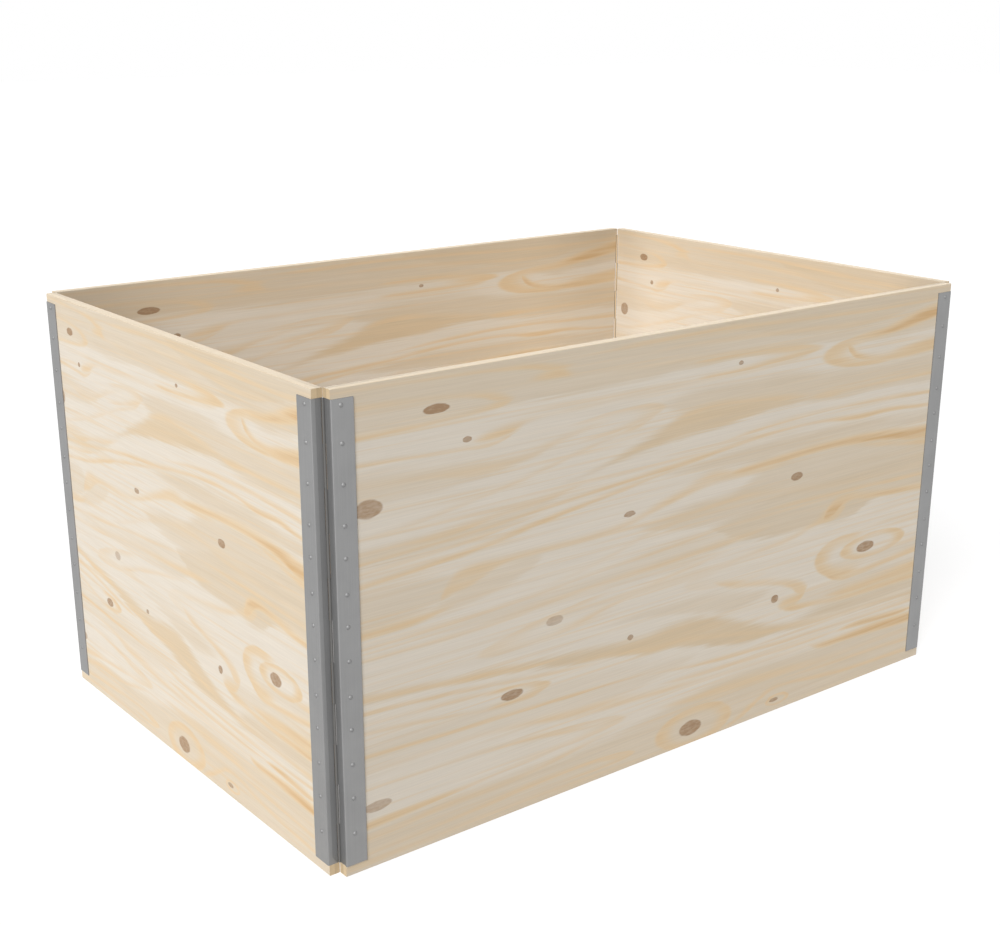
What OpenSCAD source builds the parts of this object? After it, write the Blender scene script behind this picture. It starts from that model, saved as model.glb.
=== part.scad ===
// Wooden pallet collar: four pine panels joined by a full-height steel hinge at each corner,
// so that the open frame stands on a pallet and folds flat when it is empty.
// Frame: origin at the middle of the collar on the surface that it stands on, +X along the
// long panels, +Y from the front panel to the rear one, +Z up. Millimetres.

/* [Panels] */
// Outer length of the collar, along its long panels
collar_l = 1180; // [600:5:1600]
// Outer width of the collar, along its short panels
collar_w = 800; // [400:5:1200]
// Height of the panels
panel_h = 637; // [200:1:900]
// Thickness of the panels
panel_t = 15; // [12:0.5:27]
// Bevel sanded along the top and bottom edges of each panel
arris = 0.6; // [0.2:0.1:2]

/* [Hinges] */
// Bare panel above each hinge
hinge_head_gap = 12; // [2:0.5:40]
// Bare panel below each hinge
hinge_foot_gap = 15; // [2:0.5:40]
// Sheet thickness of the hinge leaves
leaf_t = 0.7; // [0.5:0.1:2]
// Knuckles along one hinge, taken in turn by its two leaves
knuckle_n = 11; // [3:2:21]
// Gap between neighbouring knuckles, along the pin
knuckle_gap = 0.5; // [0.2:0.1:1]
// Room round a knuckle for it to turn past the other panel and leaf
knuckle_relief = 0.4; // [0.3:0.1:1]
// Running clearance of the pin in its knuckles, on the radius
pin_play = 0.05; // [0.02:0.01:0.1]
// Distance from each inner face to the pivot line, which keeps folded panels apart
fold_gap = 0.25; // [0.15:0.05:1]
// Distance from each panel's end to the plane through its pivot line
end_gap = 0.25; // [0.15:0.05:1]
// Room above and below the leaf in the rebate of the panel's end
rebate_play = 0.2; // [0.1:0.1:1]

/* [Edge strips] */
// Sheet thickness of the edge strips
strip_t = 0.7; // [0.5:0.1:1.5]
// Width of the strip's flange on the outer face of the panel
flange_w = 31; // [24:0.5:60]
// Outer radius of the strip's bend
bend_r = 1.2; // [0.6:0.1:1.6]
// Reach of the return over the end of a long panel
long_return = 1; // [0.5:0.5:5]
// Reach of the return over the end of a short panel
short_return = 5; // [1:0.5:8]
// Height of the flare at the foot of the short panels' returns
flare_h = 10; // [2:0.5:30]
// Distance from that flare to the knuckles
flare_stop = 1; // [0.5:0.5:3]

/* [Rivets] */
// Diameter of the domed heads
head_d = 6; // [4.5:0.5:10]
// Height of the domed heads
head_h = 1.6; // [1:0.1:2]
// Diameter of the shanks
shank_d = 3.5; // [2:0.5:4]
// Clearance of the shanks in their holes, on the radius
rivet_play = 0.15; // [0.05:0.05:0.2]
// Distance from the panel's end to the line of rivets
rivet_inset = 14; // [8:0.5:16]
// Distance from the top of the strip to the first rivet
rivet_head_gap = 8; // [6:0.5:30]
// Mean distance from rivet to rivet
rivet_pitch = 46.5; // [20:0.5:120]
// Least distance from the last rivet to the foot of the strip
rivet_foot_gap = 20; // [6:0.5:60]
// Wood left behind the point of each rivet
rivet_cover = 5; // [3:0.5:8]

/* [Hidden] */
// Steps down from rivet to rivet, as shares of the mean one: the row is set by hand, not evenly
rivet_steps = [0.99, 1.08, 1.10, 0.88, 0.99, 0.90, 0.97, 1.03, 0.95, 1.03, 1.01, 1.07];
$fn = 48;
// How far a cutting tool reaches past the face that it cuts
over = 1;

// The panels stop at the inner corners, where the pivot lines stand
pivot_x = collar_l / 2 - panel_t - fold_gap;
pivot_y = collar_w / 2 - panel_t - fold_gap;

// Hinges: the sheet of a leaf is rolled round the pin and lies behind the return of the strip
hinge_z = hinge_foot_gap;
hinge_l = panel_h - hinge_foot_gap - hinge_head_gap;
bore_r = end_gap + strip_t;
pin_r = bore_r - pin_play;
knuckle_r = bore_r + leaf_t;
knuckle_step = hinge_l / knuckle_n;
comb_v = knuckle_r + knuckle_relief;
edge_bevel = comb_v * sqrt(2) - knuckle_r - fold_gap;

// Distances outwards from the pivot line: panel, then leaf, then strip
face_v = fold_gap + panel_t;
leaf_v = face_v + leaf_t;
strip_v = leaf_v + strip_t;
flange_u = end_gap + flange_w;
flare_v = knuckle_r + flare_stop;

// Rivets: heights of the row, and a dome of the given width and height
rivet_u = end_gap + rivet_inset;
rivet_drops = [
    for (i = 0, drop = rivet_head_gap;
         drop <= hinge_l - rivet_foot_gap;
         drop = drop + rivet_pitch * rivet_steps[i % len(rivet_steps)], i = i + 1) drop
];
head_r = head_d / 2;
dome_r = (head_r * head_r + head_h * head_h) / (2 * head_h);
shank_l = strip_v - fold_gap - rivet_cover;

// Sides run round the collar from the front panel; each panel has a left end and a right end
// as seen from outside, where it meets the side before it and the side after it
SIDES = ["front", "right", "rear", "left"];
LEFT_END = -1;
RIGHT_END = 1;
ENDS = [LEFT_END, RIGHT_END];

function is_long(side) = side % 2 == 0;
function half_span(side) = is_long(side) ? pivot_x : pivot_y;
function half_depth(side) = is_long(side) ? pivot_y : pivot_x;
function next_to(side, end) = (side + len(SIDES) + end) % len(SIDES);

function panel_name(side) = str(SIDES[side], "_panel");
function end_name(side, end, piece) = str(SIDES[side], "_panel_", SIDES[next_to(side, end)], "_", piece);
function pin_name(side) = str(SIDES[side], "_", SIDES[next_to(side, RIGHT_END)], "_pin");

ALL_SIDES = [0 : len(SIDES) - 1];
END_PIECES = ["strip", "leaf", "rivets"];

// Turns a piece drawn for the front panel to another side of the collar
module on_side(side) {
    rotate([0, 0, 360 / len(SIDES) * side])
        children();
}

// Frame of one panel end: on the pivot line, X into the panel, Y out through its outer face
module at_end(side, end) {
    on_side(side)
        mirror([end == LEFT_END ? 1 : 0, 0, 0])
            translate([half_span(side), -half_depth(side), 0])
                rotate([0, 0, 180])
                    children();
}

// Places a piece at every rivet of a row, with Z out of the panel's face and zero on that face
module at_rivets() {
    for (drop = rivet_drops)
        translate([rivet_u, face_v, hinge_z + hinge_l - drop])
            rotate([-90, 0, 0])
                children();
}

// Round hole for the shanks, from a depth below the panel's face to a height above it
module rivet_hole(depth, height) {
    translate([0, 0, -depth])
        cylinder(h = depth + height, r = shank_d / 2 + rivet_play);
}

// Upright stretch of the hinge line that one knuckle fills
module knuckle_zone(index) {
    translate([0, 0, hinge_z + index * knuckle_step + knuckle_gap / 2])
        children();
}

// Board of the panel, with bevelled long edges, before its ends are worked
module panel_board(side) {
    reach = half_span(side) - end_gap;
    bottom = -half_depth(side) - face_v;
    translate([-reach, bottom, 0])
        rotate([90, 0, 90])
            linear_extrude(height = 2 * reach)
                polygon([
                    [arris, 0], [panel_t - arris, 0],
                    [panel_t, arris], [panel_t, panel_h - arris],
                    [panel_t - arris, panel_h], [arris, panel_h],
                    [0, panel_h - arris], [0, arris]
                ]);
}

// Rebate that lets the steel lie flush with the panel's end, with a bevel that clears the knuckles
module end_rebate() {
    translate([0, 0, hinge_z - rebate_play])
        linear_extrude(height = hinge_l + 2 * rebate_play) {
            translate([end_gap - over, fold_gap - over])
                square([knuckle_r - end_gap + over, panel_t + 2 * over]);
            polygon([
                [knuckle_r - over, fold_gap - over],
                [knuckle_r + edge_bevel + over, fold_gap - over],
                [knuckle_r - over, fold_gap + edge_bevel + over]
            ]);
        }
}

module panel(side) {
    color("burlywood")
        difference() {
            on_side(side)
                panel_board(side);
            for (end = ENDS)
                at_end(side, end) {
                    end_rebate();
                    at_rivets()
                        rivet_hole(panel_t - rivet_cover + rivet_play, over);
                }
        }
}

// Angle of sheet steel over the vertical edge of a panel: flange, return and, on the short
// panels, a flare at the foot of the return
module edge_strip(side, end) {
    reach = is_long(side) ? long_return : short_return;
    color("darkgray")
        at_end(side, end)
            difference() {
                union() {
                    translate([0, 0, hinge_z])
                        linear_extrude(height = hinge_l)
                            strip_profile(reach);
                    if (!is_long(side))
                        return_flare(reach);
                }
                at_rivets()
                    rivet_hole(over, strip_v - face_v + over);
            }
}

module strip_profile(reach) {
    translate([end_gap + bend_r, leaf_v])
        square([flange_w - bend_r, strip_t]);
    translate([end_gap, face_v - reach])
        square([strip_t, strip_v - bend_r - face_v + reach]);
    intersection() {
        translate([end_gap, strip_v - bend_r])
            square(bend_r);
        difference() {
            translate([end_gap + bend_r, strip_v - bend_r])
                circle(r = bend_r);
            translate([bore_r, leaf_v - bend_r])
                square(bend_r);
        }
    }
}

module return_flare(reach) {
    translate([end_gap, 0, hinge_z])
        rotate([90, 0, 90])
            linear_extrude(height = strip_t)
                polygon([[face_v - reach, 0], [face_v - reach, flare_h], [flare_v, 0]]);
}

// Hinge leaf: an angle clamped between strip and panel, combed at the pivot line, where its
// knuckles are rolled round the pin
module hinge_leaf(side, end) {
    first = is_long(side) ? 0 : 1;
    color("dimgray")
        at_end(side, end)
            difference() {
                union() {
                    translate([bore_r, comb_v, hinge_z])
                        cube([leaf_t, leaf_v - comb_v, hinge_l]);
                    translate([bore_r, face_v, hinge_z])
                        cube([flange_u - bore_r, leaf_t, hinge_l]);
                    for (index = [first : 2 : knuckle_n - 1])
                        knuckle_zone(index)
                            knuckle();
                }
                for (index = [first : 2 : knuckle_n - 1])
                    knuckle_zone(index)
                        translate([0, 0, -over])
                            cylinder(h = knuckle_step + 2 * over, r = bore_r);
                at_rivets()
                    rivet_hole(over, leaf_t + over);
            }
}

module knuckle() {
    knuckle_l = knuckle_step - knuckle_gap;
    cylinder(h = knuckle_l, r = knuckle_r);
    translate([bore_r, 0, 0])
        cube([leaf_t, comb_v + over, knuckle_l]);
}

// Pin of the hinge at the right end of a side
module hinge_pin(side) {
    color("gray")
        at_end(side, RIGHT_END)
            translate([0, 0, hinge_z])
                cylinder(h = hinge_l, r = pin_r);
}

// Row of rivets through strip and leaf into blind holes in the panel
module rivet_row(side, end) {
    color("silver")
        at_end(side, end)
            at_rivets()
                translate([0, 0, strip_v - face_v])
                    rivet();
}

module rivet() {
    rotate_extrude() {
        translate([0, -shank_l])
            square([shank_d / 2, shank_l]);
        intersection() {
            square([head_r, head_h]);
            translate([0, head_h - dome_r])
                circle(r = dome_r);
        }
    }
}

for (side = ALL_SIDES) {
    panel(side);
    hinge_pin(side);
    for (end = ENDS) {
        edge_strip(side, end);
        hinge_leaf(side, end);
        rivet_row(side, end);
    }
}
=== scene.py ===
"""Wooden pallet collar, dressed: pine panels, hinges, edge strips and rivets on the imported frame."""
import math

import bpy
from mathutils import Matrix

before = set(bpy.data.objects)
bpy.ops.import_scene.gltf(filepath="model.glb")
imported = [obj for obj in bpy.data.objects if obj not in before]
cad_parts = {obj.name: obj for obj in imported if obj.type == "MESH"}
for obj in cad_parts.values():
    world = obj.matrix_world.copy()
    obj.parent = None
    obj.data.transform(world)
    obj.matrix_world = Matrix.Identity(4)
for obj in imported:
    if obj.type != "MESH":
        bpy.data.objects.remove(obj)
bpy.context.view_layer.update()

# Panels. Each side of the collar is one board of pale pine, cut so that the bands of late wood run
# in long loops and bend round the brown knots. Both faces are planed and left bare, and the sharp
# edges along the top and the foot are sanded off.
BOARD_LENGTH = 1.18          # the board that the figure is drawn on, along the grain
BOARD_HEIGHT = 0.637
LONG_PANELS = ("front_panel", "rear_panel")
SHORT_PANELS = ("left_panel", "right_panel")
SHORT_PANEL_LENGTH = 0.8     # a short panel shows the same figure, drawn together to this length

# Bands of late wood, drawn on the board: how dark each one is, then points along it, each
# with its distance from the board's left end and its upper and lower edge, down from the top, in mm
BANDS = (
    # the fingers under the top edge, and the dark hook at their right
    (0.5, ((0, 2, 7), (150, 4, 9), (250, 7, 12), (310, 10, 17), (345, 15, 24), (385, 22, 22))),
    (0.5, ((305, 32, 32), (335, 23, 35), (360, 20, 36), (385, 33, 38), (450, 36, 41), (600, 41, 46),
           (700, 44, 50), (780, 47, 56), (830, 52, 63), (858, 62, 62))),
    (0.5, ((215, 98, 98), (240, 88, 100), (275, 82, 97), (310, 80, 86), (400, 78, 83), (600, 75, 80),
           (700, 74, 80), (780, 71, 77), (830, 65, 72), (858, 62, 62))),
    (0.5, ((0, 27, 32), (100, 27, 32), (180, 31, 36), (230, 35, 42), (262, 40, 51), (287, 50, 50))),
    (0.5, ((0, 59, 68), (100, 59, 66), (180, 58, 64), (240, 54, 61), (270, 48, 58), (287, 50, 50))),
    (0.85, ((922, 64, 64), (940, 57, 63), (975, 53, 63), (1010, 50, 62), (1050, 42, 59), (1100, 31, 53),
            (1180, 20, 42))),
    (0.7, ((922, 64, 64), (930, 66, 80), (950, 80, 92), (1000, 90, 101), (1060, 86, 104),
           (1120, 80, 103), (1180, 76, 101))),
    (0.4, ((390, 12, 12), (480, 8, 13), (620, 6, 11), (800, 11, 16), (1000, 17, 22), (1180, 15, 20))),
    (0.3, ((520, 24, 24), (640, 20, 27), (800, 26, 33), (960, 33, 40), (1060, 30, 30))),
    # the second pair of fingers, and the broad patch that they run into
    (0.4, ((0, 93, 98), (60, 95, 100), (130, 98, 102), (200, 101, 105), (250, 101, 106), (290, 94, 94))),
    (0.3, ((0, 115, 127), (80, 120, 128), (160, 124, 134), (220, 125, 142), (300, 124, 138),
           (360, 114, 123), (420, 104, 111), (490, 100, 100))),
    (0.3, ((0, 188, 193), (100, 184, 190), (200, 172, 178), (280, 159, 166), (340, 148, 155),
           (400, 136, 142), (460, 125, 131), (510, 113, 123), (543, 106, 106))),
    (0.4, ((0, 206, 213), (100, 205, 211), (180, 202, 214), (260, 196, 203), (340, 189, 198),
           (420, 182, 182))),
    (0.4, ((640, 176, 176), (760, 163, 168), (900, 159, 164), (1040, 162, 168), (1180, 169, 175))),
    (0.5, ((830, 134, 134), (880, 130, 141), (940, 132, 139), (1040, 132, 140), (1180, 133, 142))),
    (0.4, ((560, 126, 126), (600, 114, 124), (650, 110, 120), (720, 115, 124), (800, 123, 133),
           (870, 132, 132))),
    # the long arches across the board, and the peak under them
    (0.6, ((0, 220, 225), (100, 217, 221), (200, 213, 218), (300, 207, 211), (400, 199, 204),
           (500, 193, 198), (600, 187, 193), (700, 179, 184), (800, 174, 178), (880, 175, 179),
           (960, 179, 187), (1040, 180, 186), (1100, 186, 191), (1180, 191, 196))),
    (0.5, ((0, 246, 253), (80, 244, 251), (160, 240, 246), (240, 232, 240), (320, 222, 229),
           (400, 212, 218), (480, 203, 209), (540, 198, 202), (620, 192, 192))),
    (0.3, ((0, 232, 236), (120, 228, 233), (220, 222, 227), (330, 212, 212))),
    (0.4, ((165, 296, 296), (185, 266, 292), (210, 256, 288), (270, 256, 270), (350, 258, 268),
           (430, 258, 268), (490, 252, 262), (540, 239, 252), (590, 226, 242), (620, 217, 237),
           (650, 212, 234), (700, 218, 234), (770, 222, 234), (830, 228, 228))),
    (0.6, ((0, 305, 320), (60, 307, 320), (130, 306, 318), (200, 304, 304))),
    (0.9, ((660, 226, 226), (700, 220, 228), (780, 215, 226), (860, 212, 224), (950, 212, 226),
           (1040, 216, 234), (1100, 221, 244), (1180, 225, 248))),
    (0.5, ((930, 227, 227), (960, 226, 231), (1020, 230, 241), (1080, 238, 250), (1180, 247, 264))),
    (0.3, ((320, 322, 322), (400, 305, 312), (450, 296, 303), (500, 283, 291), (560, 271, 281),
           (620, 260, 273), (700, 255, 271), (760, 261, 273), (850, 272, 283), (950, 280, 289),
           (1050, 285, 293), (1180, 286, 296))),
    (0.3, ((0, 329, 334), (150, 327, 333), (300, 322, 328), (420, 316, 320), (600, 306, 311),
           (720, 300, 300))),
    (0.4, ((180, 346, 346), (320, 338, 344), (450, 332, 338), (600, 326, 335), (720, 320, 331),
           (790, 322, 322))),
    (0.4, ((740, 297, 297), (850, 294, 300), (980, 297, 304), (1100, 301, 308), (1180, 304, 311))),
    (0.3, ((0, 342, 348), (150, 345, 351), (280, 344, 349), (360, 342, 342))),
    # the fold in the middle at the right: a dark hook, a finger to the left and one back to the right
    (0.75, ((893, 338, 338), (905, 318, 341), (920, 309, 336), (945, 306, 321), (1000, 311, 322),
            (1060, 317, 329), (1110, 321, 332), (1180, 326, 338))),
    (0.4, ((640, 368, 368), (680, 361, 368), (720, 357, 364), (760, 353, 361), (830, 345, 355),
           (880, 332, 346), (920, 314, 344), (950, 325, 325))),
    (0.45, ((650, 385, 385), (690, 389, 402), (740, 400, 412), (790, 410, 422), (830, 419, 436),
            (855, 428, 452), (871, 441, 441))),
    (0.5, ((800, 459, 459), (815, 451, 468), (845, 447, 466), (871, 441, 441))),
    (0.7, ((800, 459, 459), (830, 463, 473), (880, 470, 478), (950, 475, 484), (1040, 476, 487),
           (1180, 476, 490))),
    (0.6, ((900, 468, 468), (960, 463, 476), (1040, 459, 477), (1180, 453, 478))),
    (0.3, ((300, 394, 394), (350, 386, 394), (400, 378, 388), (450, 369, 377), (500, 361, 369),
           (560, 353, 360), (640, 344, 350), (700, 342, 342))),
    (0.7, ((900, 424, 424), (920, 430, 440), (940, 438, 448), (990, 440, 449), (1060, 436, 446),
           (1120, 431, 443), (1180, 427, 440))),
    (0.4, ((1040, 418, 418), (1110, 412, 422), (1180, 408, 420))),
    (0.3, ((1040, 382, 382), (1100, 376, 383), (1180, 378, 385))),
    # the dark slope down the middle, and the long lines under it
    (0.4, ((0, 430, 434), (120, 434, 439), (220, 440, 445), (290, 446, 450), (325, 449, 458),
           (347, 459, 459))),
    (0.4, ((0, 442, 446), (100, 447, 452), (180, 457, 462), (240, 466, 470), (290, 468, 472),
           (330, 460, 469), (347, 459, 459))),
    (0.5, ((0, 391, 402), (80, 397, 406), (160, 404, 414), (240, 411, 422), (320, 420, 429),
           (400, 430, 430))),
    (0.4, ((370, 436, 436), (400, 434, 445), (470, 440, 454), (540, 450, 466), (600, 452, 468),
           (660, 462, 478), (720, 474, 489), (780, 488, 499), (850, 495, 507), (930, 501, 511),
           (1040, 505, 515), (1180, 507, 519))),
    (0.4, ((0, 413, 418), (120, 420, 425), (240, 431, 436), (360, 444, 449), (430, 453, 453))),
    (0.4, ((540, 500, 500), (640, 507, 513), (760, 515, 521), (880, 520, 526), (1020, 523, 529),
           (1180, 523, 530))),
    (0.4, ((560, 522, 522), (610, 522, 527), (720, 527, 533), (860, 532, 538), (960, 536, 536))),
    (0.5, ((0, 474, 479), (100, 477, 482), (200, 481, 486), (300, 484, 489), (400, 488, 492),
           (520, 495, 495))),
    (0.4, ((0, 496, 502), (100, 497, 502), (200, 498, 504), (300, 502, 512), (380, 508, 524),
           (450, 514, 530), (520, 521, 535), (620, 530, 540), (760, 539, 545), (900, 544, 548),
           (1180, 542, 549))),
    (0.35, ((0, 521, 526), (150, 523, 528), (250, 525, 532), (330, 531, 539), (380, 537, 546),
            (430, 545, 551), (485, 553, 553))),
    (0.6, ((0, 570, 580), (100, 569, 579), (180, 568, 574), (220, 570, 570))),
    (0.4, ((0, 574, 582), (100, 573, 580), (180, 569, 574), (260, 565, 570), (350, 562, 566),
           (485, 553, 553))),
    (0.9, ((880, 545, 545), (905, 547, 555), (960, 547, 558), (1040, 546, 562), (1110, 548, 565),
           (1180, 549, 567))),
    (0.8, ((945, 538, 538), (985, 533, 540), (1040, 534, 543), (1110, 538, 546), (1150, 542, 542))),
    # the lines along the foot, and the arch over the last small knot
    (0.4, ((0, 586, 598), (80, 588, 597), (180, 580, 591), (260, 582, 591), (330, 579, 587),
           (400, 571, 578), (500, 565, 565))),
    (0.4, ((0, 612, 620), (120, 610, 616), (250, 604, 612), (350, 602, 608), (430, 603, 609),
           (480, 608, 616), (508, 618, 618))),
    (0.4, ((540, 558, 558), (620, 556, 568), (720, 556, 576), (820, 564, 580), (900, 572, 584),
           (1000, 576, 582), (1180, 578, 586))),
    (0.4, ((840, 588, 588), (920, 586, 592), (1040, 590, 597), (1180, 593, 602))),
    (0.3, ((0, 628, 633), (200, 622, 628), (400, 624, 629), (540, 630, 630))),
    (0.5, ((690, 637, 637), (735, 617, 627), (770, 602, 611), (800, 592, 600), (840, 593, 600),
           (900, 601, 608), (980, 608, 615), (1080, 612, 619), (1180, 615, 623))),
)
# Tips of the fingers: where the tip begins, placed as above, its reach (to the left if negative), its half
# height, how far it falls along the board, how long its two legs show, and how dark it is
TIPS = (
    (640, 62, 217, 13, 0.00, 60, 0.5), (1000, 79, -125, 25, 0.00, 60, 0.5),
    (430, 112, 115, 15, -0.08, 80, 0.3), (400, 372, -168, 17, -0.09, 90, 0.25),
    (740, 379, -136, 20, 0.00, 60, 0.15), (955, 409, -69, 33, 0.05, 70, 0.5),
    (270, 458, 77, 12, 0.03, 60, 0.5), (330, 549, 155, 15, 0.03, 60, 0.3), (430, 613, 78, 9, 0.03, 90, 0.4),
)
# Rings that close round a knot: middle, half length and half height, placed as above, and darkness
RINGS = ((1022, 404, 76, 20, 0.5), (632, 610, 76, 31, 0.5), (815, 619, 26, 9, 0.5))
# Stretches of the board that are tan, where the rest is pale, drawn as the bands are
TAN = (
    (0.5, ((930, 60, 60), (1000, 48, 72), (1060, 38, 70), (1120, 28, 66), (1180, 22, 60))),
    (0.65, ((620, -5, -5), (800, -5, 40), (950, -5, 48), (1100, -5, 28), (1180, -5, 20))),
    (0.5, ((0, -5, 58), (150, -5, 58), (300, -5, 60), (420, -5, 62), (600, -5, 58), (850, -5, 56),
           (950, -5, 56), (1180, -5, 30))),
    (0.5, ((520, 100, 100), (600, 88, 118), (700, 86, 126), (800, 88, 138), (880, 98, 146),
           (1000, 102, 150), (1180, 100, 152))),
    (0.35, ((0, 106, 152), (100, 110, 152), (180, 118, 150), (300, 122, 138), (380, 112, 112))),
    (0.35, ((0, 200, 228), (150, 200, 226), (300, 192, 214), (380, 190, 190))),
    (0.5, ((540, 203, 203), (700, 186, 214), (850, 185, 213), (980, 188, 213), (1060, 196, 216),
           (1180, 196, 219))),
    (0.5, ((500, 270, 270), (600, 256, 292), (680, 254, 296), (760, 228, 296), (860, 222, 300),
           (960, 222, 300), (1060, 232, 300), (1180, 240, 300))),
    (0.4, ((0, 254, 306), (100, 255, 306), (170, 262, 296), (210, 280, 280))),
    (0.6, ((640, 300, 300), (720, 282, 332), (860, 258, 343), (960, 252, 347), (1010, 250, 328),
           (1180, 250, 330))),
    (0.25, ((100, 336, 336), (250, 324, 347), (420, 320, 346), (650, 300, 342), (720, 320, 320))),
    (0.4, ((430, 405, 405), (540, 396, 411), (640, 400, 430), (720, 412, 440), (790, 430, 430))),
    (0.35, ((880, 412, 412), (960, 412, 432), (1060, 414, 434), (1180, 412, 432))),
    (0.35, ((800, 450, 450), (900, 448, 484), (1180, 444, 486))),
    (0.25, ((0, 452, 506), (300, 462, 506), (560, 480, 510), (640, 490, 490))),
    (0.65, ((840, 492, 492), (920, 482, 502), (1000, 483, 506), (1180, 487, 506))),
    (0.5, ((0, 582, 645), (200, 576, 645), (400, 578, 645), (540, 567, 645), (700, 548, 645),
           (900, 552, 645), (1180, 560, 645))),
)
# Broad patches of golden wood, drawn as the bands are
PATCHES = (
    (0.8, ((370, 182, 182), (430, 168, 173), (480, 152, 164), (540, 133, 159), (590, 116, 154),
           (640, 111, 151), (700, 114, 147), (760, 120, 143), (830, 127, 140), (900, 131, 140),
           (1000, 132, 139), (1180, 133, 143))),
    (0.8, ((0, 392, 402), (80, 398, 406), (160, 405, 414), (240, 411, 423), (320, 418, 432),
           (400, 424, 446), (460, 430, 452), (520, 434, 464), (580, 431, 470), (640, 434, 482),
           (690, 450, 495), (740, 468, 501), (790, 484, 503), (850, 496, 507), (930, 501, 510),
           (1040, 506, 514), (1180, 507, 519))),
    (0.3, ((130, 316, 316), (180, 290, 316), (220, 274, 310), (270, 266, 300), (310, 264, 288),
           (335, 274, 274))),
)
# Knots: middle, half length and half height, placed as above, and how dark each one is
KNOTS = (
    (165, 46, 20, 6, 1.0), (211, 92, 7, 4, 0.85), (63, 154, 21, 12, 0.8), (694, 62, 5, 3, 0.8),
    (488, 246, 11, 4, 0.8), (828, 255, 13, 6, 0.9), (356, 370, 15, 7, 0.5), (1003, 405, 21, 9, 0.9),
    (496, 431, 6, 4, 0.8), (795, 445, 8, 6, 0.9), (283, 459, 19, 7, 0.9), (65, 551, 22, 7, 0.6),
    (624, 611, 23, 12, 0.9), (807, 618, 10, 4, 0.8),
)


def paint(red, green, blue):
    """Linear colour, with alpha, from the three levels that a screen shows, 0 to 255."""
    levels = [level / 255 for level in (red, green, blue)]
    return [v / 12.92 if v <= 0.04045 else ((v + 0.055) / 1.055) ** 2.4 for v in levels] + [1.0]


def put(tree, kind, sockets=None, **settings):
    """Adds a shader node. Each socket takes a value, or the output that feeds it."""
    made = tree.nodes.new("ShaderNode" + kind)
    for name, value in settings.items():
        setattr(made, name, value)
    for name, value in (sockets or {}).items():
        if isinstance(value, bpy.types.NodeSocket):
            tree.links.new(value, made.inputs[name])
        else:
            made.inputs[name].default_value = value
    return made


def work(tree, operation, *values):
    """Output of a Math node with these values."""
    return put(tree, "Math", dict(enumerate(values)), operation=operation).outputs[0]


def vector_work(tree, operation, *values):
    """Output of a Vector Math node with these values: a vector, or a number if the operation gives one."""
    outputs = put(tree, "VectorMath", dict(enumerate(values)), operation=operation).outputs
    return outputs["Value" if operation in ("LENGTH", "DISTANCE", "DOT_PRODUCT") else "Vector"]


def scaled(tree, vector, size):
    """Vector, or colour, times a size."""
    return put(tree, "VectorMath", {0: vector, "Scale": size}, operation="SCALE").outputs["Vector"]


def axes_of(tree, vector):
    """The X, Y and Z of a vector."""
    return put(tree, "SeparateXYZ", {0: vector}).outputs


def ease(tree, value, span, low=0.0, high=1.0):
    """Smooth step of a value, from low at the start of the span to high at its end."""
    names = ("Value", "From Min", "From Max", "To Min", "To Max")
    return put(tree, "MapRange", dict(zip(names, (value, *span, low, high))),
               interpolation_type="SMOOTHSTEP").outputs["Result"]


def blend(tree, share, first, second):
    """Colour that goes from the first to the second as the share goes from 0 to 1."""
    return put(tree, "Mix", {"Factor": share, 6: first, 7: second}, data_type="RGBA").outputs[2]


def cloud(tree, place, along, across, detail=2.0, roughness=0.5):
    """Noise between 0 and 1 whose patches are this long along the grain and this wide across it."""
    stretched = vector_work(tree, "MULTIPLY", place, (1 / along, 1 / across, 1 / across))
    return put(tree, "TexNoise", {"Vector": stretched, "Scale": 1.0, "Detail": detail,
                                  "Roughness": roughness}).outputs["Fac"]


def group_of(name, takes, gives):
    """New shader group with these inputs and outputs, and its two end nodes."""
    group = bpy.data.node_groups.new(name, "ShaderNodeTree")
    for socket, kind in takes.items():
        group.interface.new_socket(socket, in_out="INPUT", socket_type="NodeSocket" + kind)
    for socket, kind in gives.items():
        group.interface.new_socket(socket, in_out="OUTPUT", socket_type="NodeSocket" + kind)
    return group, group.nodes.new("NodeGroupInput"), group.nodes.new("NodeGroupOutput")


def use_group(tree, group, socket, value):
    """Outputs of a shader group in a material, with one input fed."""
    made = tree.nodes.new("ShaderNodeGroup")
    made.node_tree = group
    tree.links.new(value, made.inputs[socket])
    return made.outputs


def new_material(name):
    """New material, its tree, and the inputs of its shader."""
    material = bpy.data.materials.new(name)
    material.use_nodes = True
    tree = material.node_tree
    return material, tree, tree.nodes["Principled BSDF"].inputs


# How the figure is drawn. Lengths are in metres, and a span is the start and the end of a smooth step.
BLEED = 0.002                   # how far a shape's colour runs past its drawn lines
EDGE_ABOVE = (0.8, 0.002, 0.014)    # soft edge over a shape: share of its height, plus this, at most this
EDGE_BELOW = (0.4, 0.001, 0.007)    # and the one under it
EDGE_OUTSIDE = 3                # one part in this many of a soft edge lies outside its line
BAND_NOISE = 0.005              # how far noise moves the edges of bands, tips, rings and knots
RAGGED_NOISE = 0.02             # and those of tan stretches and golden patches
TIP_RISE = (0.30, 0.95)         # shares of the half size over which a tip darkens
RING_RISE = (0.45, 0.95)        # and a ring
ROUND_END = (1.12, 0.98)        # and over which both end
KNOT_EDGE = (1.08, 0.90)        # and a knot begins
NO_LIMIT = -99                  # stands for any distance across a tip
PATCH_LATE = 0.28               # late wood in a golden patch
FAINT_LINES = (0.48, 0.72)      # noise over which faint lines show between the bands
FAINT_TONE = 0.25
STREAKS = 0.6                   # how strongly noise streaks the tan wood
NOISE_MIDDLE = (0.3, 0.7)       # noise over which most of a change lies
BREAKS = (0.6, 1.05)            # bands break up between these shares of their darkness
SPECKLE = (0.85, 1.1)           # and knots between these


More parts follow.
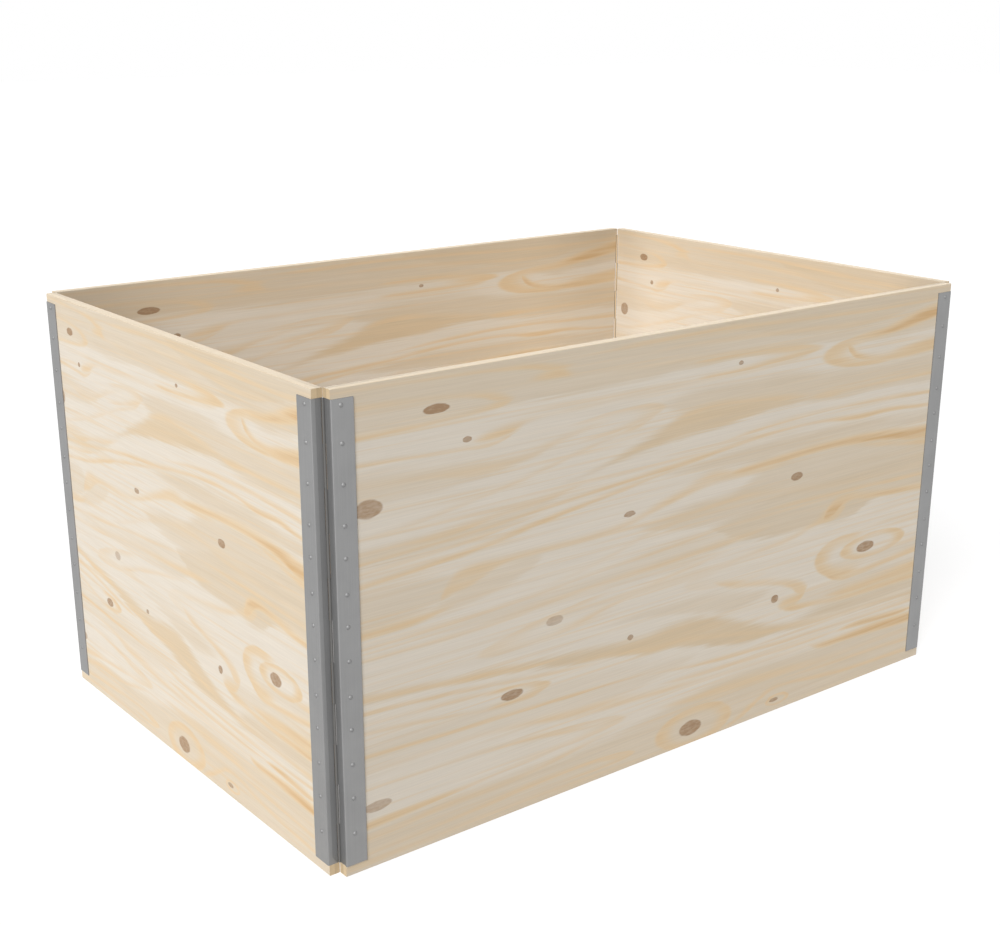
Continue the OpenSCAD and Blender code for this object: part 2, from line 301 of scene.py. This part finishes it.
def pine_figure():
    """Group that draws the figure on board coordinates: along from the left end, down from the top, deep.
    A band, a tan stretch or a patch is as dark as its tone between its upper and its lower line, each a
    smooth curve through its points. A tip or a ring darkens towards its ellipse and ends there. A knot is
    a full ellipse. Fine noise along the grain roughens every edge."""
    tree, given, out = group_of("Pine figure", {"Board": "Vector"}, {"Late wood": "Float", "Tan": "Float",
                                                                     "Knot": "Float", "Fibre": "Float"})
    board = given.outputs["Board"]
    axes = axes_of(tree, board)
    share = work(tree, "DIVIDE", axes["X"], BOARD_LENGTH)
    rough = work(tree, "SUBTRACT", cloud(tree, board, 0.12, 0.004, 3.0), 0.5)
    down = work(tree, "MULTIPLY_ADD", rough, BAND_NOISE, axes["Y"])
    ragged = work(tree, "MULTIPLY_ADD", rough, RAGGED_NOISE, axes["Y"])
    flat = put(tree, "CombineXYZ", {"X": axes["X"], "Y": down}).outputs["Vector"]

    def line(points):
        """Smooth curve through points of a share of the length and a distance down, read at each place."""
        made = put(tree, "FloatCurve", {"Value": share})
        made.mapping.use_clip = False
        curve = made.mapping.curves[0]
        for spare in points[2:]:
            curve.points.new(0.5, 0.5)
        for point, place in zip(curve.points, points):
            point.location = place
        made.mapping.update()
        return made.outputs[0]

    def soft(height, edge):
        """Soft edge for a shape of this height, as the span of a distance from its line."""
        part, more, most = edge
        width = min(part * height + more, most)
        return -width / EDGE_OUTSIDE, width

    def drawn(shapes, place):
        """Darkest of these shapes at each place. Each has a wide soft edge above and a narrower one below."""
        most = 0.0
        for tone, points in shapes:
            upper = line([(along / 1000 / BOARD_LENGTH, top / 1000 - BLEED) for along, top, foot in points])
            lower = line([(along / 1000 / BOARD_LENGTH, foot / 1000 + BLEED) for along, top, foot in points])
            height = max(foot - top for along, top, foot in points) / 1000
            under = ease(tree, work(tree, "SUBTRACT", place, upper), soft(height, EDGE_ABOVE))
            over = ease(tree, work(tree, "SUBTRACT", lower, place), soft(height, EDGE_BELOW), 0.0, tone)
            most = work(tree, "MAXIMUM", work(tree, "MULTIPLY", under, over), most)
        return most

    def counted(along, top, length, height, fall=0.0):
        """Place counted from a middle, in lengths along the board and heights, on lines that fall along it."""
        level = flat
        if fall:
            drop = vector_work(tree, "DOT_PRODUCT", flat, (-fall, 0, 0))
            level = vector_work(tree, "ADD", flat, put(tree, "CombineXYZ", {"Y": drop}).outputs["Vector"])
        start = (-along / length, (fall * along - top) / height, 0)
        return vector_work(tree, "MULTIPLY_ADD", level, (1000 / length, 1000 / height, 0), start)

    def rounded(offset, rise, tone):
        """Band that darkens towards an ellipse and ends there."""
        away = vector_work(tree, "LENGTH", offset)
        return work(tree, "MULTIPLY", ease(tree, away, rise, 0.0, tone), ease(tree, away, ROUND_END))

    late = drawn(BANDS, down)
    for along, top, reach, height, fall, legs, tone in TIPS:
        offset = counted(along, top, reach, height, fall)
        band = rounded(vector_work(tree, "MAXIMUM", offset, (0, NO_LIMIT, 0)), TIP_RISE, tone)
        fade = ease(tree, axes_of(tree, offset)["X"], (-legs / abs(reach), 0.0))
        late = work(tree, "MAXIMUM", work(tree, "MULTIPLY", band, fade), late)
    for along, top, length, height, tone in RINGS:
        late = work(tree, "MAXIMUM", rounded(counted(along, top, length, height), RING_RISE, tone), late)
    patches = drawn(PATCHES, ragged)
    late = work(tree, "MAXIMUM", late, work(tree, "MULTIPLY", patches, PATCH_LATE))
    faint = ease(tree, cloud(tree, board, 0.40, 0.006), FAINT_LINES, 0.0, FAINT_TONE)
    late = work(tree, "MAXIMUM", late, faint)
    breaks = ease(tree, cloud(tree, board, 0.25, 0.010, 3.0), NOISE_MIDDLE, *BREAKS)
    tree.links.new(work(tree, "MULTIPLY", late, breaks), out.inputs["Late wood"])

    streak = work(tree, "SUBTRACT", cloud(tree, board, 0.45, 0.012, 4.0), 0.5)
    tan = work(tree, "MAXIMUM", patches, drawn(TAN, ragged))
    tree.links.new(work(tree, "MULTIPLY_ADD", streak, STREAKS, tan), out.inputs["Tan"])

    dark = 0.0
    for along, top, length, height, tone in KNOTS:
        away = vector_work(tree, "LENGTH", counted(along, top, length, height))
        dark = work(tree, "MAXIMUM", ease(tree, away, KNOT_EDGE, 0.0, tone), dark)
    speckle = ease(tree, cloud(tree, board, 0.008, 0.003, 3.0), NOISE_MIDDLE, *SPECKLE)
    tree.links.new(work(tree, "MULTIPLY", dark, speckle), out.inputs["Knot"])
    tree.links.new(cloud(tree, board, 0.10, 0.0012, 3.0, 0.6), out.inputs["Fibre"])
    return tree


PINE_FIGURE = pine_figure()
PALE_WOOD = paint(239, 229, 214)
TAN_WOOD = paint(222, 200, 167)
GOLDEN_WOOD = paint(237, 211, 173)
LATE_WOOD = paint(222, 182, 130)
KNOT_WOOD = paint(174, 142, 110)
RIM_WOOD = paint(225, 207, 179)
END_GRAIN = paint(220, 197, 161)
# painted shade: the end grain sunk in the rebates, seen in the gaps between the knuckles
REBATE_SHADE = paint(84, 80, 76)
# painted light: the inner faces are tinted tan for the warm light bounced between the walls
INNER_BOUNCE_TAN = 0.08                # how much more tan the inner faces are
TURNS_GOLDEN = (-0.05, 0.5)     # late wood over which pale or tan wood turns golden
TURNS_LATE = (0.35, 1.05)       # and golden wood takes the colour of the bands
FACE_ENDS = (0.6, 0.4)          # slope over which the figure gives way to plain rims and ends
END_BEGINS = (0.75, 0.95)       # slope over which a plain rim becomes an end
SQUARE_END = 0.9                # slope from which an end counts as square
FIBRE_SPAN = (0.2, 0.8)         # noise over which the fibres go from dark and rough to light and smooth
FIBRE_SHADE = (0.95, 1.035)
FIBRE_ROUGHNESS = (0.66, 0.54)


def drawn_together(tree, place):
    """Figure of a short panel: it is drawn together most at the rear end. The place on the board is a
    smooth cubic of the place on the panel."""
    inner = work(tree, "MULTIPLY_ADD", place, 1.35, -1.95)
    outer = work(tree, "MULTIPLY_ADD", place, inner, 2.24)
    return work(tree, "MULTIPLY_ADD", place, outer, -0.027)


def pine_material(name, run, depth, middle, rebate, corner, reach, fall):
    """Pine with the figure laid along one axis of the panels, yellower on the inner side of their middle
    plane as painted warm bounce light, plain on the rims and on the end grain, and with painted dark shade
    where an end is set back as a rebate for the steel. The inner side carries painted shade that darkens it
    towards the
    corners: by the fall, over the reach."""
    material, tree, shader = new_material(name)
    own = tree.nodes.new("ShaderNodeTexCoord").outputs
    place = axes_of(tree, own["Object"])
    if run == "X":
        along = work(tree, "ADD", place["X"], BOARD_LENGTH / 2)
    else:
        along = drawn_together(tree, work(tree, "SUBTRACT", SHORT_PANEL_LENGTH / 2, place["Y"]))
    board = put(tree, "CombineXYZ", {"X": along, "Y": work(tree, "SUBTRACT", BOARD_HEIGHT, place["Z"]),
                                     "Z": place[depth]}).outputs["Vector"]
    figure = use_group(tree, PINE_FIGURE, "Board", board)

    slope = axes_of(tree, own["Normal"])
    end = work(tree, "ABSOLUTE", slope[run])
    face = ease(tree, work(tree, "MAXIMUM", work(tree, "ABSOLUTE", slope["Z"]), end), FACE_ENDS)
    outward = work(tree, "ABSOLUTE", place[run])
    sunk = work(tree, "LESS_THAN", outward, rebate)
    # painted shade on the square ends set back in the rebates
    painted_rebate_shade = work(tree, "MULTIPLY", sunk, work(tree, "GREATER_THAN", end, SQUARE_END))

    late = figure["Late wood"]
    inside = work(tree, "LESS_THAN", work(tree, "ABSOLUTE", place[depth]), middle)
    # painted warm bounce light on the inner faces
    colour = blend(tree, work(tree, "MULTIPLY_ADD", inside, INNER_BOUNCE_TAN, figure["Tan"]), PALE_WOOD, TAN_WOOD)
    colour = blend(tree, ease(tree, late, TURNS_GOLDEN), colour, GOLDEN_WOOD)
    colour = blend(tree, ease(tree, late, TURNS_LATE), colour, LATE_WOOD)
    colour = blend(tree, figure["Knot"], colour, KNOT_WOOD)
    colour = blend(tree, face, blend(tree, ease(tree, end, END_BEGINS), RIM_WOOD, END_GRAIN), colour)
    colour = blend(tree, painted_rebate_shade, colour, REBATE_SHADE)
    fibre = figure["Fibre"]
    # painted shade: the inner faces darken towards the inner corners, where shade falls
    painted_corner_shade = work(tree, "MULTIPLY", inside, ease(tree, outward, (corner - reach, corner), 0.0, fall))
    shade = work(tree, "MULTIPLY", ease(tree, fibre, FIBRE_SPAN, *FIBRE_SHADE),
                 work(tree, "SUBTRACT", 1.0, painted_corner_shade))
    tree.links.new(scaled(tree, colour, shade), shader["Base Color"])
    tree.links.new(ease(tree, fibre, FIBRE_SPAN, *FIBRE_ROUGHNESS), shader["Roughness"])
    relief = put(tree, "Bump", {"Strength": 0.15, "Distance": 0.0003, "Height": fibre})
    tree.links.new(relief.outputs["Normal"], shader["Normal"])
    return material


def wear(names, material):
    """Gives the CAD nodes with these names a material of their own."""
    for name in names:
        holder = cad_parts[name].material_slots[0]
        holder.link = "OBJECT"
        holder.material = material


# From the middle of the collar: the middle plane of the panels, the end of the wood in their rebates, and
# the inner corner. Then how far from the corner the painted shade on the inner side reaches, and how dark it
# gets.
LONG_PLACES = {"middle": 0.3925, "rebate": 0.5740, "corner": 0.575, "reach": 0.25, "fall": 0.22}
SHORT_PLACES = {"middle": 0.5825, "rebate": 0.3840, "corner": 0.385, "reach": 0.12, "fall": 0.18}
wear(LONG_PANELS, pine_material("Pine of the long panels", "X", "Y", **LONG_PLACES))
wear(SHORT_PANELS, pine_material("Pine of the short panels", "Y", "X", **SHORT_PLACES))

# Hinge leaves. Eight angles of dark rolled sheet steel line the corners: each is clamped to its
# panel under an edge strip, and its inner edge is combed and rolled into knuckles round a pin.
PANEL_ENDS = ("front_panel_left", "front_panel_right", "right_panel_front", "right_panel_rear",
              "rear_panel_right", "rear_panel_left", "left_panel_rear", "left_panel_front")
SCUFFED = (0.62, 0.78)          # noise over which the steel is scuffed
STEEL_SPREAD = 0.03             # how far the steel's colour varies either way
ROUGHNESS_SPREAD = 0.05         # and its roughness


def rolled_sheet():
    """Group for rolled steel: cloudy tone, fine upright rolling lines and small scuffs, 0 to 1 each."""
    tree, given, out = group_of("Rolled sheet", {"Place": "Vector"},
                                {"Tone": "Float", "Lines": "Float", "Scuffs": "Float"})
    place = given.outputs["Place"]
    upright = put(tree, "Mapping", {"Vector": place, "Rotation": (0, math.radians(90), 0)}).outputs["Vector"]
    tree.links.new(cloud(tree, place, 0.05, 0.05, 3.0), out.inputs["Tone"])
    tree.links.new(cloud(tree, upright, 0.15, 0.0006, 2.0), out.inputs["Lines"])
    tree.links.new(ease(tree, cloud(tree, upright, 0.02, 0.004, 4.0, 0.7), SCUFFED), out.inputs["Scuffs"])
    return tree


ROLLED_SHEET = rolled_sheet()


def steel_material(name, colour, metallic, roughness):
    """Steel of one colour, which varies a little, with rolling lines and scuffs."""
    material, tree, shader = new_material(name)
    own = tree.nodes.new("ShaderNodeTexCoord").outputs["Object"]
    sheet = use_group(tree, ROLLED_SHEET, "Place", own)
    shade = work(tree, "ADD", ease(tree, sheet["Tone"], NOISE_MIDDLE, 1 - STEEL_SPREAD, 1 + STEEL_SPREAD),
                 work(tree, "MULTIPLY", sheet["Scuffs"], STEEL_SPREAD))
    tree.links.new(scaled(tree, paint(*colour)[:3], shade), shader["Base Color"])
    shader["Metallic"].default_value = metallic
    tree.links.new(ease(tree, sheet["Lines"], NOISE_MIDDLE, roughness - ROUGHNESS_SPREAD,
                        roughness + ROUGHNESS_SPREAD), shader["Roughness"])
    relief = put(tree, "Bump", {"Strength": 0.1, "Distance": 0.0002, "Height": sheet["Lines"]})
    tree.links.new(relief.outputs["Normal"], shader["Normal"])
    return material


LEAF_METALLIC = 0.9
LEAF_STEEL = steel_material("Dark hinge steel", (140, 140, 140), LEAF_METALLIC, 0.6)
PIVOT_X, PIVOT_Y = 0.57475, 0.38475     # the pin lines, from the middle of the collar
KNUCKLE_EDGE = (0.0022, 0.0018)         # distance from a pin line over which a leaf becomes a knuckle
# painted shade for the knuckles on the outer side of the pin lines
KNUCKLE_SHADE = paint(104, 103, 101)
WOOD_DUST = paint(216, 192, 156)


def shade_and_dust_knuckles(material):
    """Covers the knuckles: painted shade, a flat dark grey, on the outer side of the pin lines, where they
    lie in the notch, and a film of resin and wood dust on the inner side, where goods slide along them."""
    tree = material.node_tree
    shader = tree.nodes["Principled BSDF"].inputs
    own = tree.nodes.new("ShaderNodeTexCoord").outputs["Object"]
    place = axes_of(tree, vector_work(tree, "ABSOLUTE", own))
    level = put(tree, "CombineXYZ", {"X": place["X"], "Y": place["Y"]}).outputs["Vector"]
    knuckle = ease(tree, vector_work(tree, "DISTANCE", level, (PIVOT_X, PIVOT_Y, 0)), KNUCKLE_EDGE)
    inward = work(tree, "MULTIPLY", work(tree, "LESS_THAN", place["X"], PIVOT_X),
                  work(tree, "LESS_THAN", place["Y"], PIVOT_Y))
    knuckle_shaded = blend(tree, knuckle, shader["Base Color"].links[0].from_socket, KNUCKLE_SHADE)
    dusty = blend(tree, work(tree, "MULTIPLY", knuckle, inward), knuckle_shaded, WOOD_DUST)
    tree.links.new(dusty, shader["Base Color"])
    tree.links.new(ease(tree, knuckle, (0.0, 1.0), LEAF_METALLIC, 0.0), shader["Metallic"])


shade_and_dust_knuckles(LEAF_STEEL)
wear([end + "_leaf" for end in PANEL_ENDS], LEAF_STEEL)

# Hinge pins. Four drawn steel rods stand at the inner corners, one through the knuckles of each pair
# of leaves, and carry the fold of the collar.
PINS = ("front_right_pin", "right_rear_pin", "rear_left_pin", "left_front_pin")
PIN_STEEL = steel_material("Drawn pin steel", (150, 150, 152), 0.9, 0.35)
wear(PINS, PIN_STEEL)

# Edge strips. Eight angles of zinc-coated sheet steel guard the upright edges of the panels: a wide
# flange lies on the outer face over the leaf, and a return goes round the edge.
STRIP_STEEL = steel_material("Zinc-coated strip", (150, 150, 150), 0.85, 0.55)
wear([end + "_strip" for end in PANEL_ENDS], STRIP_STEEL)

# Rivets. A row of small domed steel rivets, set by hand, holds each strip and its leaf to the panel.
RIVET_STEEL = steel_material("Rivet steel", (140, 140, 140), 0.9, 0.6)
wear([end + "_rivets" for end in PANEL_ENDS], RIVET_STEEL)

# Studio. The collar stands on a pale floor in front of a white ground, in soft light from the left and a
# weaker light from behind at the right. Each lamp has a direction, a power and a width in degrees.
SKY_LEVEL = 0.12
LAMPS = (("main lamp", (-0.68, -0.42, 0.60), 3.15, 40), ("back lamp", (0.52, 0.66, 0.54), 1.2, 60))
WHITE = (1, 1, 1, 1)
FLOOR_REACH = 20.0
FLOOR_LEVEL = -0.0002           # just under the collar's foot
FLOOR_TONE = 0.46
FLOOR_GLOW = 0.65               # lifts the floor to white for the camera, without lighting the collar

corners = [(x * FLOOR_REACH, y * FLOOR_REACH, FLOOR_LEVEL)
           for x, y in ((-1, -1), (1, -1), (1, 1), (-1, 1))]
floor_mesh = bpy.data.meshes.new("floor")
floor_mesh.from_pydata(corners, [], [(0, 1, 2, 3)])
floor = bpy.data.objects.new("floor", floor_mesh)
bpy.context.collection.objects.link(floor)


def seen_rays(tree):
    """1 for a ray that shows the ground to the camera, by itself or in gloss or glass."""
    ray = tree.nodes.new("ShaderNodeLightPath").outputs
    return work(tree, "MAXIMUM", ray["Is Camera Ray"],
                work(tree, "MAXIMUM", ray["Is Glossy Ray"], ray["Is Transmission Ray"]))


pale, tree, surface = new_material("Pale floor")
pale.cycles.emission_sampling = "NONE"
surface["Base Color"].default_value = (FLOOR_TONE, FLOOR_TONE, FLOOR_TONE, 1)
surface["Roughness"].default_value = 1.0
surface["Specular IOR Level"].default_value = 0.0
surface["Emission Color"].default_value = WHITE
tree.links.new(work(tree, "MULTIPLY", seen_rays(tree), FLOOR_GLOW), surface["Emission Strength"])
floor_mesh.materials.append(pale)

world = bpy.data.worlds.new("White ground")
world.use_nodes = True
bpy.context.scene.world = world
tree = world.node_tree
light = put(tree, "Background", {"Color": WHITE, "Strength": SKY_LEVEL})
ground = put(tree, "Background", {"Color": WHITE, "Strength": 1.0})
both = put(tree, "MixShader", {0: seen_rays(tree), 1: light.outputs[0], 2: ground.outputs[0]})
tree.links.new(both.outputs[0], tree.nodes["World Output"].inputs["Surface"])

for name, (x, y, z), power, width in LAMPS:
    lamp = bpy.data.objects.new(name, bpy.data.lights.new(name, "SUN"))
    lamp.data.energy = power
    lamp.data.angle = math.radians(width)
    tilt = math.acos(z / math.sqrt(x * x + y * y + z * z))
    lamp.rotation_euler = (tilt, 0, math.atan2(y, x) + math.pi / 2)
    bpy.context.collection.objects.link(lamp)

# Camera. It stands in front of the left corner at eye height over the collar and looks a little down.
CAMERA_PLACE = (-1.46714, -1.86263, 1.05407)
CAMERA_TURN = math.radians(-37.919)
CAMERA_DIP = math.radians(18.634)
CAMERA_ROLL = math.radians(0.062)
CAMERA_LENS = 55.116            # mm, on a sensor of the width below
CAMERA_SENSOR = 36.0
CAMERA_SHIFT = 0.05776

camera = bpy.data.objects.new("camera", bpy.data.cameras.new("camera"))
camera.data.lens = CAMERA_LENS
camera.data.sensor_width = CAMERA_SENSOR
camera.data.shift_y = CAMERA_SHIFT
camera.location = CAMERA_PLACE
camera.rotation_euler = (Matrix.Rotation(CAMERA_TURN, 3, "Z")
                         @ Matrix.Rotation(math.pi / 2 - CAMERA_DIP, 3, "X")
                         @ Matrix.Rotation(CAMERA_ROLL, 3, "Z")).to_euler()
bpy.context.collection.objects.link(camera)
bpy.context.scene.camera = camera
bpy.context.scene.view_settings.view_transform = "Standard"
